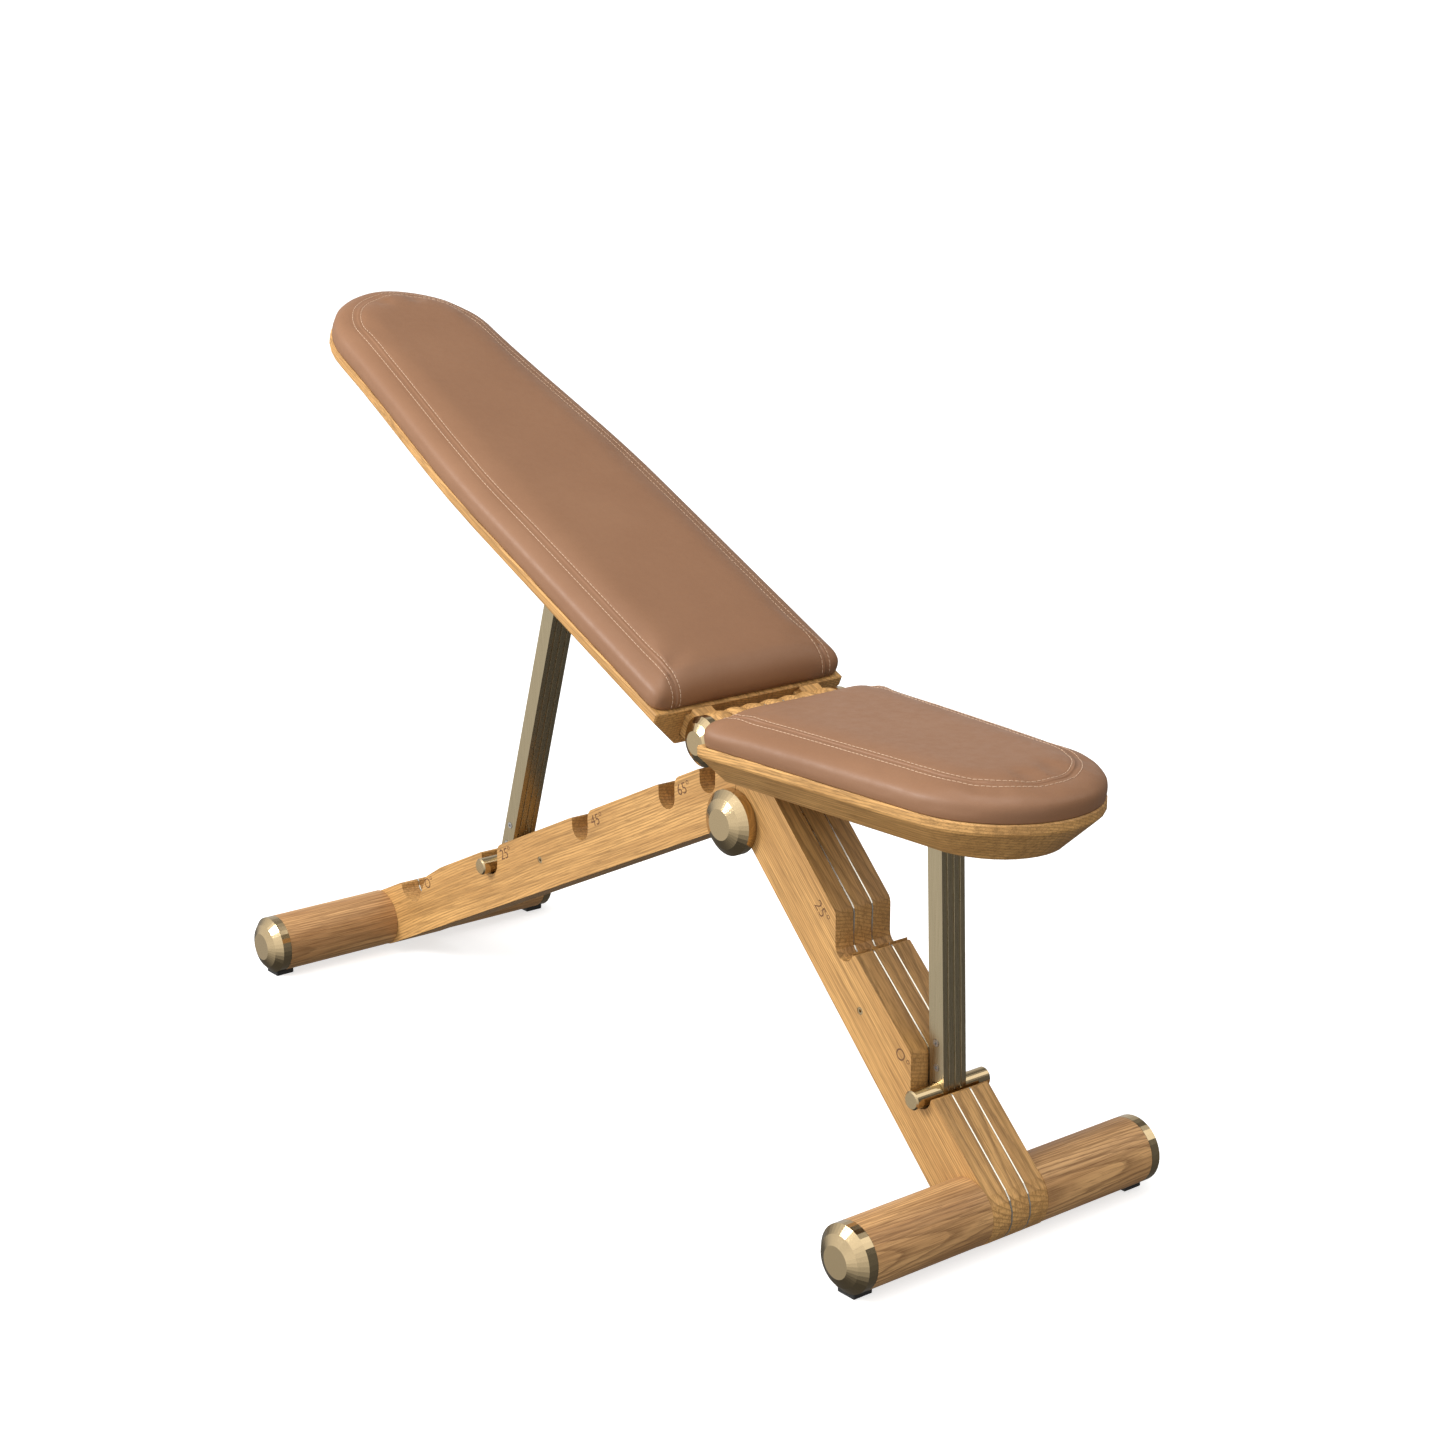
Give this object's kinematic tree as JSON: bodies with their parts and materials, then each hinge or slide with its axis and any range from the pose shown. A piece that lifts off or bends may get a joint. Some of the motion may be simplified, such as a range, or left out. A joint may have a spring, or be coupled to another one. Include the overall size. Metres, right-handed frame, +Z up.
{
  "type": "adjustable weight bench",
  "caption": "Adjustable incline bench with oak frame, leather seat and backrest, notched legs and drop-in metal struts.",
  "frame": {"origin": "on the floor, under the middle of the bench's box", "axes": "+Z up, +X towards the seat end, +Y across the bench; the bench is symmetric about the XZ plane"},
  "size_m": [1.2102, 0.4304, 0.8392],
  "materials": {
    "oak": "satin oiled oak",
    "oak_bar": "satin oiled oak, turned",
    "board_oak": "satin oiled oak",
    "tan_leather": "smooth full-grain leather with light stitching",
    "champagne_metal": "champagne coloured, polished",
    "strut_metal": "champagne coloured, brushed lengthwise",
    "plate_metal": "satin sheet",
    "steel": "plain turned steel",
    "black_rubber": "matt"
  },
  "bodies": {
    "front_frame": {"axle_cap_far": "champagne_metal", "axle_cap_near": "champagne_metal", "fold_axle": "steel", "fold_knob_far": "champagne_metal", "fold_knob_near": "champagne_metal", "front_foot_bar_far": "oak_bar", "front_foot_bar_near": "oak_bar", "front_foot_cap_far": "champagne_metal", "front_foot_cap_near": "champagne_metal", "front_foot_pad_far": "black_rubber", "front_foot_pad_near": "black_rubber", "front_foot_rod": "steel", "front_leg_far": "oak", "front_leg_mid": "oak", "front_leg_near": "oak", "front_leg_plate_far": "plate_metal", "front_leg_plate_near": "plate_metal", "front_leg_screw_far": "champagne_metal", "front_leg_screw_near": "champagne_metal", "upper_axle": "steel"},
    "backrest": {"backrest_arm_far": "oak", "backrest_arm_near": "oak", "backrest_board": "board_oak", "backrest_pad": "tan_leather", "backrest_strut_bracket": "champagne_metal", "backrest_strut_hinge_pin": "steel"},
    "backrest_strut": {"backrest_strut": "strut_metal", "backrest_strut_cross_pin": "champagne_metal", "backrest_strut_screw_1": "steel", "backrest_strut_screw_2": "steel"},
    "rear_leg": {"rear_foot_bar_far": "oak_bar", "rear_foot_bar_near": "oak_bar", "rear_foot_cap_far": "champagne_metal", "rear_foot_cap_near": "champagne_metal", "rear_foot_pad_far": "black_rubber", "rear_foot_pad_near": "black_rubber", "rear_foot_rod": "steel", "rear_leg_far": "oak", "rear_leg_mid": "oak", "rear_leg_near": "oak", "rear_leg_plate_far": "plate_metal", "rear_leg_plate_near": "plate_metal", "rear_leg_screw_far": "champagne_metal", "rear_leg_screw_near": "champagne_metal"},
    "seat": {"seat_arm_far": "oak", "seat_arm_near": "oak", "seat_board": "board_oak", "seat_pad": "tan_leather", "seat_strut_bracket": "champagne_metal", "seat_strut_hinge_pin": "steel"},
    "seat_strut": {"seat_strut": "strut_metal", "seat_strut_cross_pin": "champagne_metal", "seat_strut_screw_1": "steel", "seat_strut_screw_2": "steel"}
  },
  "joints": [
    {"name": "leg_fold", "type": "hinge", "parent": "front_frame", "child": "rear_leg", "pos_m": [0.1509, 0, 0.3494], "axis": [0, -1, 0], "range_deg": [0, 100]},
    {"name": "seat_hinge", "type": "hinge", "parent": "front_frame", "child": "seat", "pos_m": [0.1672, 0, 0.4501], "axis": [0, -1, 0], "range_deg": [0, 24.6]},
    {"name": "backrest_hinge", "type": "hinge", "parent": "front_frame", "child": "backrest", "pos_m": [0.1672, 0, 0.4501], "axis": [0, 1, 0], "range_deg": [0, 60]},
    {"name": "seat_strut_hinge", "type": "hinge", "parent": "seat", "child": "seat_strut", "pos_m": [0.4292, 0, 0.4471], "axis": [0, -1, 0], "range_deg": [-25, 0]},
    {"name": "backrest_strut_hinge", "type": "hinge", "parent": "backrest", "child": "backrest_strut", "pos_m": [-0.18404, 0, 0.61046], "axis": [0, 1, 0], "range_deg": [-52, 0]}
  ],
  "couplings": [
    {"joint": "seat_strut_hinge", "follows": "seat_hinge", "ratio": -1},
    {"joint": "backrest_strut_hinge", "follows": "backrest_hinge", "ratio": -0.85}
  ]
}
